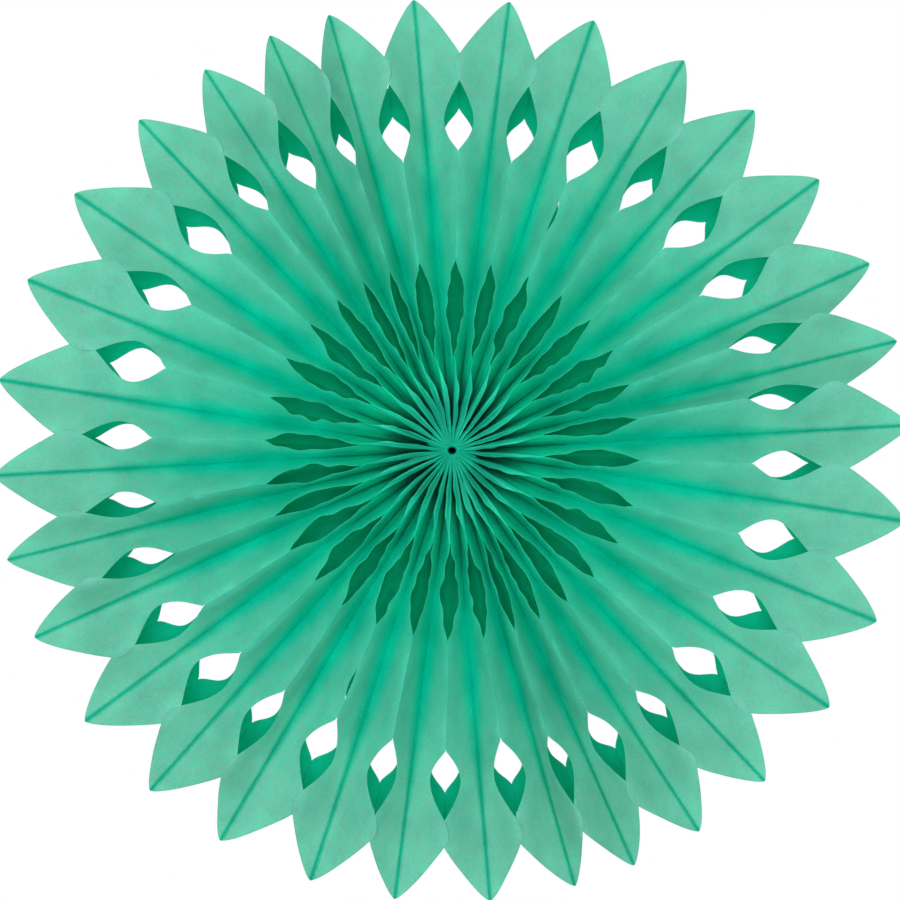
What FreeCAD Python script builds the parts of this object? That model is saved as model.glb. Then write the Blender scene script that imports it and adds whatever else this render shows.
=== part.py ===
import FreeCAD, Part
import math
import os
import Sketcher
from FreeCAD import Rotation, Vector

# Tissue fan rosette, opened to a full circle and seen from the front.
# Frame: origin at the centre of the disc, +Z up, the front faces -Y.
#
# The fan is a ring of leaves glued edge to edge round a small glued core.
# A leaf is two cut tissue sheets glued together along their middle line, the
# midrib. Each sheet opens from the midrib into a front panel and a back panel,
# so a leaf cut across is an X with four arms, and the ring is a chain of
# diamonds. Neighbours are glued where their arms meet, at the front and back
# ridges. Holes and the points between leaves are cut into the sheets' edges.

os.makedirs("parts", exist_ok=True)
doc = FreeCAD.newDocument("paper_fan")

# Driving sizes in millimetres, and plain numbers where said
SIZES = [
    ("tip_radius", 203.0),         # centre of the fan to the point of a leaf
    ("panel_width", 22.0),         # midrib to the glued edge, across one panel
    ("tissue_thickness", 0.2),     # one sheet, with the air in its creases
    ("core_radius", 4.0),          # outside of the glued core
    ("core_edge_bevel", 1.0),      # bevel round the core's two ends
    ("bore_radius", 1.5),          # hole for the hanging thread or a pin
    ("notch_radius", 173.5),       # centre to the notch between two leaves
    ("tip_end_width", 0.6),        # arm left at the very point of a leaf
    ("tip_bow", 0.75),             # power that bows the leaf's sides, 1 is straight
    ("kite_outer_radius", 159.8),  # outer hole, front and back: its outer corner
    ("kite_wide_radius", 144.5),   # its widest place
    ("kite_inner_radius", 127.0),  # its inner corner
    ("kite_depth", 10.5),          # how deep it is cut into each panel
    ("slit_outer_radius", 80.5),   # inner hole, front panels only: outer corner
    ("slit_wide_radius", 64.0),    # its widest place
    ("slit_inner_radius", 38.4),   # its inner corner
    ("slit_depth", 12.9),          # how deep it is cut into each front panel
]

# Turn from one midrib to the next, in degrees before the ring is closed up,
# clockwise from the first leaf right of the top. The fan is opened by hand, so
# they differ. The second half of the ring repeats the first.
MIDRIB_TURNS = [10.8, 12.4, 10.8, 12.0, 12.4, 10.4, 10.8, 12.2,
                13.2, 12.4, 12.4, 10.4, 9.2, 7.8, 10.8, 12.0]
FIRST_MIDRIB = 7.2
HALVES = 2

sheet = doc.addObject("Spreadsheet::Sheet", "sizes")
for row, (alias, value) in enumerate(SIZES, start=1):
    sheet.set("A%d" % row, alias)
    sheet.set("B%d" % row, str(value))
    sheet.setAlias("B%d" % row, alias)
turn_rows = len(SIZES) + 1
for index, value in enumerate(MIDRIB_TURNS):
    row = turn_rows + index
    alias = "midrib_turn_%02d" % (index + 1)
    sheet.set("A%d" % row, alias)
    sheet.set("B%d" % row, str(value))
    sheet.setAlias("B%d" % row, alias)
doc.recompute()


def size(alias):
    """Read one driving size back from the sheet."""
    return float(sheet.get(alias))


# Places along a leaf, worked out from the driving sizes

# Shares of the way from the point of a leaf back to the notch, and from the
# core out to the inner hole, at which the leaf is cut across once more
TIP_STEPS = [0.78, 0.5, 0.24, 0.07]
RIDGE_STEPS = [0.2]
# A section lists each arm's two end corners, then the corner at the midrib
CORNERS_PER_ARM = 3
SECOND_END_CORNER = 1
panel = size("panel_width")
half_wall = size("tissue_thickness") / 2
notch = size("notch_radius")
tip = size("tip_radius")


def cut_back(radius, inner, wide, outer, depth):
    """Share of the panel that a hole with straight sides leaves at a radius."""
    if radius <= inner or radius >= outer:
        return 1.0
    if radius < wide:
        reach = (radius - inner) / (wide - inner)
    else:
        reach = (outer - radius) / (outer - wide)
    return 1.0 - depth / panel * reach


def arm_share(radius, front):
    """Share of the panel's width that is paper at a radius. 1 reaches the ridge."""
    if radius > notch:
        left = max((tip - radius) / (tip - notch), 0.0)
        return max(left ** size("tip_bow"), size("tip_end_width") / panel)
    share = cut_back(radius, size("kite_inner_radius"), size("kite_wide_radius"),
                     size("kite_outer_radius"), size("kite_depth"))
    if front:
        share = min(share, cut_back(radius, size("slit_inner_radius"),
                                    size("slit_wide_radius"),
                                    size("slit_outer_radius"), size("slit_depth")))
    return share


def stations():
    """Radii at which a leaf is cut across, from the core to its point."""
    core = size("core_radius")
    first_ridge = size("slit_inner_radius")
    radii = [core]
    radii += [core + step * (first_ridge - core) for step in RIDGE_STEPS]
    radii += [size(name) for name in (
        "slit_inner_radius", "slit_wide_radius", "slit_outer_radius",
        "kite_inner_radius", "kite_wide_radius", "kite_outer_radius")]
    radii.append(notch)
    radii += [tip - step * (tip - notch) for step in TIP_STEPS]
    radii.append(tip)
    return radii


# One leaf, standing on the Z axis: x runs across it, depth is towards the front

def corner_between(one, other):
    """Inner corner of two walls that start at the midrib along unit vectors."""
    middle = one + other
    middle.normalize()
    half_angle = one.getAngle(other) / 2
    return middle * (half_wall / math.sin(half_angle))


def arm(radius, half_turn, side, face):
    """Direction of an arm and the two corners at its end.

    side is 1 for the clockwise neighbour and -1 for the other, face is 1 for
    the front and -1 for the back.
    """
    across = min(radius, notch) * math.tan(half_turn)
    height = math.sqrt(panel ** 2 - across ** 2)
    along = Vector(side * across, face * height, 0) / panel
    normal = Vector(-face * along.y, face * along.x, 0) * side
    share = arm_share(radius, face > 0)
    if share < 1.0:
        end = along * (share * panel)
        return along, end + normal * half_wall, end - normal * half_wall
    lip = half_wall * panel / across
    ridge = Vector(side * across, face * height, 0)
    return along, ridge, ridge - Vector(0, face * lip, 0)


def section(radius, half_turn_before, half_turn_after):
    """Twelve corners of the leaf cut across at a radius, in order round it."""
    order = [(half_turn_after, 1, 1), (half_turn_after, 1, -1),
             (half_turn_before, -1, -1), (half_turn_before, -1, 1)]
    arms = [arm(radius, *which) for which in order]
    corners = []
    for index, (along, outer, inner) in enumerate(arms):
        following = arms[(index + 1) % len(arms)]
        first, second = (outer, inner) if index % 2 == 0 else (inner, outer)
        corners += [first, second, corner_between(along, following[0])]
    return [Vector(c.x, -c.y, radius) for c in corners]


def triangle(a, b, c):
    """Flat three-cornered face."""
    return Part.Face(Part.makePolygon([a, b, c, a]))


def band(lower, upper):
    """Faces between two sections, two triangles for each pair of corners.

    Both sides of an arm bend along the same diagonal, from the midrib outwards,
    so that its wall keeps its thickness where the panel twists.
    """
    faces = []
    count = len(lower)
    for i in range(count):
        j = (i + 1) % count
        if i % CORNERS_PER_ARM == SECOND_END_CORNER:
            faces.append(triangle(lower[i], lower[j], upper[i]))
            faces.append(triangle(lower[j], upper[j], upper[i]))
        else:
            faces.append(triangle(lower[i], lower[j], upper[j]))
            faces.append(triangle(lower[i], upper[j], upper[i]))
    return faces


def leaf_shape(half_turn_before, half_turn_after):
    """Closed solid of one leaf between its two neighbours."""
    rings = [section(radius, half_turn_before, half_turn_after) for radius in stations()]
    faces = [Part.Face(Part.makePolygon(rings[0] + rings[0][:1])),
             Part.Face(Part.makePolygon(rings[-1] + rings[-1][:1]))]
    for lower, upper in zip(rings, rings[1:]):
        faces += band(lower, upper)
    shell = Part.makeShell(faces)
    shell.sewShape()
    solid = Part.makeSolid(shell)
    if solid.Volume < 0:
        solid.reverse()
    return solid


# Midribs round the ring

def midrib_angles():
    """Angle of each midrib from the top and the turn that follows it, in radians."""
    turns = [size("midrib_turn_%02d" % (i + 1)) for i in range(len(MIDRIB_TURNS))]
    scale = 2 * math.pi / (HALVES * sum(turns))
    angle = math.radians(FIRST_MIDRIB)
    midribs = []
    for turn in turns * HALVES:
        midribs.append((angle, turn * scale))
        angle += turn * scale
    return midribs


def build_leaves():
    """All leaves, named clockwise from the top as seen from the front."""
    midribs = midrib_angles()
    leaves = []
    for index, (angle, turn_after) in enumerate(midribs):
        turn_before = midribs[index - 1][1]
        leaf = doc.addObject("Part::Feature", "leaf_%02d" % (index + 1))
        leaf.Label = leaf.Name
        leaf.Shape = leaf_shape(turn_before / 2, turn_after / 2)
        leaf.Placement = FreeCAD.Placement(
            Vector(0, 0, 0), Rotation(Vector(0, 1, 0), math.degrees(angle)))
        leaves.append(leaf)
    return leaves


# Core: the glued inner ends of the sheets, with the thread hole through it

def origin_plane(body, role):
    """Plane of a body's own origin, found by its role."""
    return next(item for item in body.Origin.OriginFeatures if item.Role == role)


def circle_sketch(body, name, alias):
    """Sketch in the plane of the disc with one circle whose radius is a size."""
    sketch = body.newObject("Sketcher::SketchObject", name)
    sketch.AttachmentSupport = [(origin_plane(body, "XZ_Plane"), "")]
    sketch.MapMode = "FlatFace"
    sketch.addGeometry(Part.Circle(Vector(0, 0, 0), Vector(0, 0, 1), size(alias)), False)
    centre_at_origin = Sketcher.Constraint("Coincident", 0, 3, -1, 1)
    sketch.addConstraint(centre_at_origin)
    radius = sketch.addConstraint(Sketcher.Constraint("Radius", 0, size(alias)))
    sketch.setExpression("Constraints[%d]" % radius, "sizes." + alias)
    return sketch


def build_core():
    """Short tube as deep as the fan is at its centre."""
    body = doc.addObject("PartDesign::Body", "centre_core")
    body.Label = "centre_core"
    tube = body.newObject("PartDesign::Pad", "core_pad")
    tube.Profile = circle_sketch(body, "core_outline", "core_radius")
    tube.Midplane = True
    tube.setExpression("Length", "2 * sizes.panel_width")
    doc.recompute()
    rims = ["Edge%d" % (i + 1) for i, edge in enumerate(tube.Shape.Edges)
            if edge.Curve.TypeId == "Part::GeomCircle"]
    bevel = body.newObject("PartDesign::Chamfer", "core_bevel")
    bevel.Base = (tube, rims)
    bevel.setExpression("Size", "sizes.core_edge_bevel")
    doc.recompute()
    bore = body.newObject("PartDesign::Pocket", "thread_bore")
    bore.Profile = circle_sketch(body, "bore_outline", "bore_radius")
    bore.Midplane = True
    bore.Type = "ThroughAll"
    body.Tip = bore
    body.Placement = FreeCAD.Placement(Vector(0, 0, 0), Rotation())
    return body


pieces = build_leaves() + [build_core()]
doc.recompute()

for item in doc.Objects:
    if "Invalid" in item.State or "Error" in item.State:
        raise RuntimeError("%s failed: %s" % (item.Name, item.State))
for piece in pieces:
    if piece.Shape.isNull() or not piece.Shape.isValid() or not piece.Shape.Solids:
        raise RuntimeError("%s has no valid solid" % piece.Label)
for piece in pieces:
    piece.Shape.exportStep("parts/%s.step" % piece.Label)
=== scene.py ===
import math
import random
from collections import namedtuple
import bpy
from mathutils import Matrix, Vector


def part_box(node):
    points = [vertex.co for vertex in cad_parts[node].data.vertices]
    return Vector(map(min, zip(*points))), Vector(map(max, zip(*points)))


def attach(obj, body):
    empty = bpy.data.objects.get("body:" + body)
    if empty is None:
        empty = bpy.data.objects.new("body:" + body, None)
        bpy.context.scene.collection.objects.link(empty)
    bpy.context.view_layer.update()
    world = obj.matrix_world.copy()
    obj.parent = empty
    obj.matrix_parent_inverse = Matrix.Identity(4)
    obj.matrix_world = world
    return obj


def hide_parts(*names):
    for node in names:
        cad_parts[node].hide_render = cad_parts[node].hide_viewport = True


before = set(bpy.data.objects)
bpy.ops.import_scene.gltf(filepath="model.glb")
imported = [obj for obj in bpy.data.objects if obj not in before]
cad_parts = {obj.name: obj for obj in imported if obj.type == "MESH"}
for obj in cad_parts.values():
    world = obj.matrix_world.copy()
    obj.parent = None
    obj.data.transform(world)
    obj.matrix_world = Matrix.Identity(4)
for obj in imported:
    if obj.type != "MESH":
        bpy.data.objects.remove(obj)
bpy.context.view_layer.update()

from types import SimpleNamespace

import bmesh
import bpy
import numpy as np
from bpy.props import FloatProperty, FloatVectorProperty, IntProperty, PointerProperty
from mathutils import Vector

bl_info = {
    "name": "Tissue fan rosette",
    "version": (1, 0, 0),
    "blender": (4, 5, 0),
    "location": "3D View > Sidebar > Tissue Fan",
    "description": "Cuts and folds the tissue leaves of a round paper fan",
    "category": "Add Mesh",
}

# Frame: origin at the centre of the disc, +Z up, the front faces -Y, in metres.
# Every leaf is two cut tissue sheets, glued to each other along the midrib and
# to the next leaf's sheets along the front and back ridges. Angles round the
# fan are counted clockwise from the top, as seen from the front.

MM = 0.001
LEAF_NODES = sorted(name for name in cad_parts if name.startswith("leaf_"))
LEAF_COUNT = len(LEAF_NODES)
CORE_NODE = "centre_core"
# Corners of a leaf from this share of its length on are its point
POINT_SHARE = 0.9999


def node_points(node):
    """All corners of a CAD node, as rows of x, y, z."""
    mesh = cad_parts[node].data
    points = np.zeros(len(mesh.vertices) * 3)
    mesh.vertices.foreach_get("co", points)
    return points.reshape(-1, 3)


def midrib_angle(node):
    """Direction of a leaf's point, from the CAD leaf's farthest corners."""
    points = node_points(node)
    reach = np.hypot(points[:, 0], points[:, 2])
    x, z = points[reach > reach.max() * POINT_SHARE][:, (0, 2)].mean(axis=0)
    return math.atan2(x, z) % (2 * math.pi)


MIDRIBS = [midrib_angle(node) for node in LEAF_NODES]
TURNS = [(after - before) % (2 * math.pi)
         for before, after in zip(MIDRIBS, MIDRIBS[1:] + MIDRIBS[:1])]
RIDGES = [midrib + turn / 2 for midrib, turn in zip(MIDRIBS, TURNS)]
TIP_RADIUS = max(np.hypot(p[:, 0], p[:, 2]).max() for p in map(node_points, LEAF_NODES))
PANEL_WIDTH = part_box(CORE_NODE)[1].y


def length(name, description, millimetres):
    """Setting for a length."""
    return FloatProperty(name=name, description=description, default=millimetres * MM,
                         unit="LENGTH")


def tint(name, description, colour):
    """Setting for a colour."""
    return FloatVectorProperty(name=name, description=description, subtype="COLOR", size=3,
                               default=colour)


class TissueFanSettings(bpy.types.PropertyGroup):
    """Sizes of the cut and of the fold, and the colours of the tissue."""

    notch_radius: length("Notch radius", "Centre to the notch between two leaves", 172.0)
    kite_outer: length(
        "Outer hole, outer corner", "Radius of the outer hole's outer corner", 159.8)
    kite_wide: length("Outer hole, widest", "Radius at which the outer hole is widest", 144.5)
    kite_inner: length(
        "Outer hole, inner corner", "Radius of the outer hole's inner corner", 127.0)
    kite_depth: length("Outer hole depth", "How deep the outer hole is cut into each panel", 10.5)
    slit_outer: length("Inner hole, outer corner", "Radius of the inner hole's outer corner", 80.5)
    slit_wide: length("Inner hole, widest", "Radius at which the inner hole is widest", 64.0)
    slit_inner: length("Inner hole, inner corner", "Radius of the inner hole's inner corner", 38.4)
    slit_depth: length(
        "Inner hole depth", "How deep the inner hole is cut into a front panel", 12.9)
    tip_bow: FloatProperty(
        name="Leaf bow", description="Power that bows the sides of a leaf's point", default=0.75)
    tissue_thickness: length("Tissue thickness", "Wall of one sheet", 0.12)
    ridge_bow: FloatProperty(
        name="Ridge bow", description="Power that rounds the ridges, 1 leaves them sharp",
        default=1.38)
    crease_bow: FloatProperty(
        name="Crease bow", description="How widely the creases open, 0 leaves them sharp",
        default=0.45)
    tip_flattening: FloatProperty(
        name="Tip flattening", description="Share of its depth that a leaf's free end loses",
        default=0.35)
    sway: FloatProperty(
        name="Sway", description="How far the front leans outward, per unit of depth",
        default=0.168)
    oval: FloatProperty(
        name="Oval", description="Share by which the fan is opened wider than tall",
        default=0.007)
    seam_width: length("Seam width", "Widest place of the glued lip along a ridge", 2.4)
    seam_lean: FloatProperty(
        name="Seam lean", description="How far the lip folds over to one side",
        default=math.radians(72), unit="ROTATION")
    ripple: length("Ripple", "How far the panels wander from flat", 0.8)
    cut_wobble: length("Cut wobble", "Unevenness of the inner hole's edges", 2.4)
    seed: IntProperty(name="Seed", description="Seed of all unevenness", default=7)
    # Painted light and shade by radius: the core colour darkens the tissue near the centre, the
    # inner colour is brightened to light the deep pleats, and the paler, greyer leaf ends stand
    # for light let through the single sheet
    outer_colour: tint(
        "Outer tissue", "Colour of the tissue at the leaf ends", (0.215, 0.680, 0.550))
    middle_colour: tint("Middle tissue", "Colour of the tissue halfway out", (0.125, 0.735, 0.580))
    inner_colour: tint(
        "Inner tissue", "Colour of the tissue near the centre", (0.005, 0.860, 0.620))
    # Painted light: a brighter, more saturated green along the creases near the centre, for light
    # bounced in the pleats
    crease_light_colour: tint(
        "Crease tissue", "Colour of the tissue along the creases, near the centre",
        (0.000, 0.790, 0.610))
    # Painted shade: a darker green along the creases at the leaf ends
    outer_crease_shade_colour: tint(
        "Outer crease", "Colour of the tissue along the creases at the leaf ends",
        (0.012, 0.500, 0.360))
    worn_colour: tint(
        "Worn tissue", "Greyer colour of the blotches on the leaf ends", (0.280, 0.560, 0.470))
    # Painted highlight: paler streaks near the centre, for light on the crests of the pleats
    streak_highlight_colour: tint(
        "Streaks", "Paler colour of the streaks near the centre", (0.060, 0.640, 0.470))
    # Painted shade: a darker colour on the lips and crests near the centre
    lip_shade_colour: tint(
        "Inner lips", "Colour of the folded lips near the centre", (0.006, 0.470, 0.310))
    # Painted shade: a darker line at the bottom of each crease
    fold_shade_colour: tint(
        "Fold line", "Colour of the fine line at the bottom of a crease", (0.000, 0.400, 0.270))
    # Painted shade on the sides that face into the fan
    shade_colour: tint(
        "Inner sides", "Colour of the tissue's sides that face into the fan",
        (0.006, 0.480, 0.350))
    core_colour: tint("Core", "Colour of the glued core", (0.002, 0.450, 0.290))
    glow_colour: tint(
        "Glow", "Colour of the light that comes through the tissue", (0.010, 0.850, 0.580))
    # Painted shade: near black inside the thread hole, and the core's colour of the light let
    # through
    bore_shade_colour: tint("Bore", "Colour inside the thread hole", (0.001, 0.006, 0.004))
    # Painted highlight along the inner holes' cut edges and the lips' edges near the centre
    rim_highlight_colour: tint("Cut rim", "Colour along the inner hole's cut edges", (0.070, 0.780, 0.570))
    leaf_rim_colour: tint(
        "Leaf rim", "Colour along the cut edge of a leaf's end", (0.190, 0.560, 0.430))
    floor_colour: tint("Floor", "Colour of the floor", (0.86, 0.86, 0.86))


# The cut sheet, flat

# Steps between rows of corners: on plain lengths, near the centre and along the holes
ROW_STEP = 1.9 * MM
CENTRE_ROW_STEP = 1.0 * MM
FINE_ROW_STEP = 1.2 * MM
# Power that draws the rows together towards a leaf's point
TIP_CROWDING = 1.7
# Radius at which the sheets end
INNER_END = 2.7 * MM
PANEL_COLUMNS = 8
SEAM_COLUMNS = 2
# A flat sheet's distance from the middle plane of its leaf
FLAT_GAP = 0.1 * MM
# Share of a panel that is left at the very point of a leaf
LEAST_SHARE = 0.012

# Powers that shape the sides of the holes
KITE_INNER_POWER = 1.75
KITE_OUTER_POWER = 1.2
SLIT_OUTER_POWER = 1.5

# Rims of the cut edges, coloured apart, with a painted highlight along the inner holes: width, and
# largest share of the paper
SLIT_RIM_WIDTH = 4.5 * MM
OUTER_RIM_WIDTH = 0.7 * MM
RIM_SHARE = 0.38
# The rim attribute on a leaf's end, on an inner hole and on a lip near the centre; the last two
# pick a painted highlight
LEAF_RIM, SLIT_RIM, LIP_HIGHLIGHT = -1.0, 1.0, 0.35
# How soon an inner hole's painted rim highlight and its wobble rise from the hole's corners
RIM_RISE = 3.0
WOBBLE_RISE = 2.5
# Waves of the wobble: how many, and their least and largest height and length in millimetres
WAVES = 4
WAVE_HEIGHTS = (0.5, 1.0)
WAVE_LENGTHS = (7.0, 19.0)

# Share of a lip's width under a notch, front and back, and between the holes
BRIDGE_LIP, BACK_BRIDGE_LIP, MIDDLE_LIP = 0.8, 0.2, 0.02
# Near the centre a lip takes a share of its cell, and fades towards the inner hole
LIP_OF_CELL = 0.7
LIP_FADE = 12 * MM
LEAST_FADE = 0.25

# Ridges whose glue has opened over a short length: leaf, side of the leaf, and radii
OPENED_SEAMS = ((3, -1), (19, -1))
OPENED_START, OPENED_END, OPENED_GAP = 100.0 * MM, 115.5 * MM, 2.0 * MM

# How each outer hole came out, clockwise from the first ridge right of the top. The second
# half of the ring repeats the first. width is against the plain cut. The others are in
# millimetres: how far the inner corner lies nearer the centre, how far the back ridge is
# drawn inwards, and how far the ridge wanders clockwise.
Hole = namedtuple("Hole", "inner width draw wander")
HOLES = [Hole(*row) for row in (
    (2.2, 0.99, 2.2, -1.9), (2.9, 1.02, 4.8, -1.7), (2.8, 0.97, 4.8, -1.2),
    (2.6, 1.14, 5.2, -0.9), (2.4, 1.06, 8.0, -1.5), (1.5, 0.99, 5.6, -0.4),
    (-0.9, 0.85, 3.6, -0.9), (-1.9, 0.88, -1.2, -1.9), (-0.3, 1.15, 1.4, -0.9),
    (0.0, 1.06, 2.2, 0.2), (1.3, 1.08, 1.8, 1.0), (-1.1, 0.88, 1.3, -0.2),
    (2.2, 1.14, 1.5, 0.5), (-0.4, 0.96, 2.0, 1.3), (2.8, 1.04, 2.6, 1.1),
    (-0.7, 0.93, 1.6, -0.1))]


def hole(ridge):
    """How the outer hole on a ridge came out."""
    return HOLES[ridge % len(HOLES)]


def between(start, end, step, power=1.0):
    """Radii from start up to, not at, the end, closer together near it as power grows."""
    count = max(1, round((end - start) / step))
    return [end - (end - start) * (1 - i / count) ** power for i in range(count)]


def row_radii(s):
    """Radii of the rows of corners, with one at each corner of the cut."""
    marks = [(INNER_END, CENTRE_ROW_STEP), (s.slit_inner, FINE_ROW_STEP),
             (s.slit_outer, ROW_STEP), (s.kite_inner, FINE_ROW_STEP),
             (s.kite_wide, FINE_ROW_STEP), (s.kite_outer, ROW_STEP), (s.notch_radius, ROW_STEP)]
    ends = [radius for radius, _ in marks[1:]] + [TIP_RADIUS]
    rows = []
    for (start, step), end in zip(marks, ends):
        rows += between(start, end, step, TIP_CROWDING if end == TIP_RADIUS else 1.0)
    return rows + [TIP_RADIUS]


def kite_cut(s, radius, ridge):
    """Share of the outer hole's depth at a radius: round at the widest, pointed at the ends."""
    inner = s.kite_inner - hole(ridge).inner * MM
    if radius <= inner or radius >= s.kite_outer:
        return 0.0
    if radius < s.kite_wide:
        return 1 - ((s.kite_wide - radius) / (s.kite_wide - inner)) ** KITE_INNER_POWER
    way = (s.kite_outer - radius) / (s.kite_outer - s.kite_wide)
    return math.sin(way * math.pi / 2) ** KITE_OUTER_POWER


def slit_cut(s, radius):
    """Share of the inner hole's depth at a radius."""
    if radius <= s.slit_inner or radius >= s.slit_outer:
        return 0.0
    if radius < s.slit_wide:
        return math.sin((radius - s.slit_inner) / (s.slit_wide - s.slit_inner) * math.pi / 2)
    return 1 - ((radius - s.slit_wide) / (s.slit_outer - s.slit_wide)) ** SLIT_OUTER_POWER


def paper_share(s, radius, front, ridge):
    """Share of the panel's width that is paper at a radius. 1 reaches the ridge."""
    if radius >= s.notch_radius:
        left = max((TIP_RADIUS - radius) / (TIP_RADIUS - s.notch_radius), 0.0)
        return max(left ** s.tip_bow, LEAST_SHARE)
    cut = s.kite_depth * kite_cut(s, radius, ridge) * hole(ridge).width
    if front:
        cut += s.slit_depth * slit_cut(s, radius)
    return 1.0 - cut / PANEL_WIDTH


def wobble_run(rows, rng, size):
    """Smooth unevenness of a cut edge, one value for each row."""
    waves = [(rng.uniform(*WAVE_HEIGHTS), rng.uniform(*WAVE_LENGTHS) * MM,
              rng.uniform(0, 2 * math.pi)) for _ in range(WAVES)]
    total = sum(height for height, _, _ in waves)
    return [size / total * sum(height * math.sin(2 * math.pi * radius / wave + phase)
                               for height, wave, phase in waves) for radius in rows]


def seam_share(s, radius, front, ridge):
    """Share of the lip's width at a radius: none on a cut edge, wide near the centre."""
    if radius > s.notch_radius or paper_share(s, radius, front, ridge) < 1.0:
        return 0.0
    if radius > s.kite_outer:
        way = (radius - s.kite_outer) / (s.notch_radius - s.kite_outer)
        return math.sin(way * math.pi) * (BRIDGE_LIP if front else BACK_BRIDGE_LIP)
    if radius > s.slit_inner or not front:
        return MIDDLE_LIP
    cell = 2 * math.pi * radius / LEAF_COUNT
    fade = max(LEAST_FADE, min(1.0, (s.slit_inner - radius) / LIP_FADE))
    return min(LIP_OF_CELL * cell / s.seam_width, 1.0) * fade


def opened_seam(radius):
    """How far a sheet's edge stands back where its seam has opened."""
    way = (radius - OPENED_START) / (OPENED_END - OPENED_START)
    return OPENED_GAP * math.sin(way * math.pi) if 0 < way < 1 else 0.0


def sheet_columns():
    """Columns of a flat sheet from the back lip to the front lip.

    Each has its face, 1 for the front, its step from the midrib, or None on the
    paper's edge, and how far out it lies on the lip.
    """
    steps = [i / (PANEL_COLUMNS - 1) for i in range(PANEL_COLUMNS)] + [None]
    lips = [(i + 1) / SEAM_COLUMNS for i in range(SEAM_COLUMNS)]
    columns = [(-1, None, lip) for lip in reversed(lips)]
    columns += [(-1, step, 0.0) for step in reversed(steps[1:])]
    return columns + [(1, step, 0.0) for step in steps] + [(1, None, lip) for lip in lips]


def flat_sheet(s, side, ridge, opened, rng):
    """One cut sheet as a flat grid: along it runs the radius, across it back to front."""
    rows = row_radii(s)
    columns = sheet_columns()
    wobble = wobble_run(rows, rng, s.cut_wobble / PANEL_WIDTH)
    points, values = [], {"share": [], "face": [], "lip": [], "slack": [], "rim": []}
    for i, radius in enumerate(rows):
        for face, step, lip in columns:
            front = face > 0
            paper = paper_share(s, radius, front, ridge)
            slack = slit_cut(s, radius) if front else 0.0
            paper = min(paper + wobble[i] * min(1.0, slack * WOBBLE_RISE), 1.0)
            if front and opened:
                paper -= opened_seam(radius) / PANEL_WIDTH
            rim_width = OUTER_RIM_WIDTH if radius > s.kite_inner else SLIT_RIM_WIDTH
            before_rim = max(paper * (1 - RIM_SHARE), paper - rim_width / PANEL_WIDTH)
            share = paper if step is None else before_rim * step
            points.append((side * FLAT_GAP, face * share * PANEL_WIDTH, radius))
            # rim picks the colour of a cut edge: a painted highlight on an inner hole and a lip's
            # edge, the rim colour on a leaf's end
            rim = LEAF_RIM if radius >= s.notch_radius else SLIT_RIM * min(1.0, slack * RIM_RISE)
            if front and lip == 1.0 and radius < s.slit_inner:
                rim = LIP_HIGHLIGHT
            values["share"].append(share)
            values["face"].append(face)
            values["lip"].append(lip * seam_share(s, radius, front, ridge))
            values["slack"].append(slack)
            values["rim"].append(rim if step is None else 0.0)
    values["side"] = [side] * len(points)
    width = len(columns)
    quads = []
    for i in range(len(rows) - 1):
        for j in range(width - 1):
            a = i * width + j
            quad = (a, a + 1, a + width + 1, a + width)
            quads.append(quad if side > 0 else quad[::-1])
    mesh = bpy.data.meshes.new("flat_sheet")
    mesh.from_pydata(points, [], quads)
    for key, numbers in values.items():
        mesh.attributes.new(key, "FLOAT", "POINT").data.foreach_set("value", numbers)
    return mesh


# Node trees

# One kind of unevenness: scale and detail of its noise, and how strongly it acts
Noise = namedtuple("Noise", "scale detail strength", defaults=(1.0, 1.0))


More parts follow.
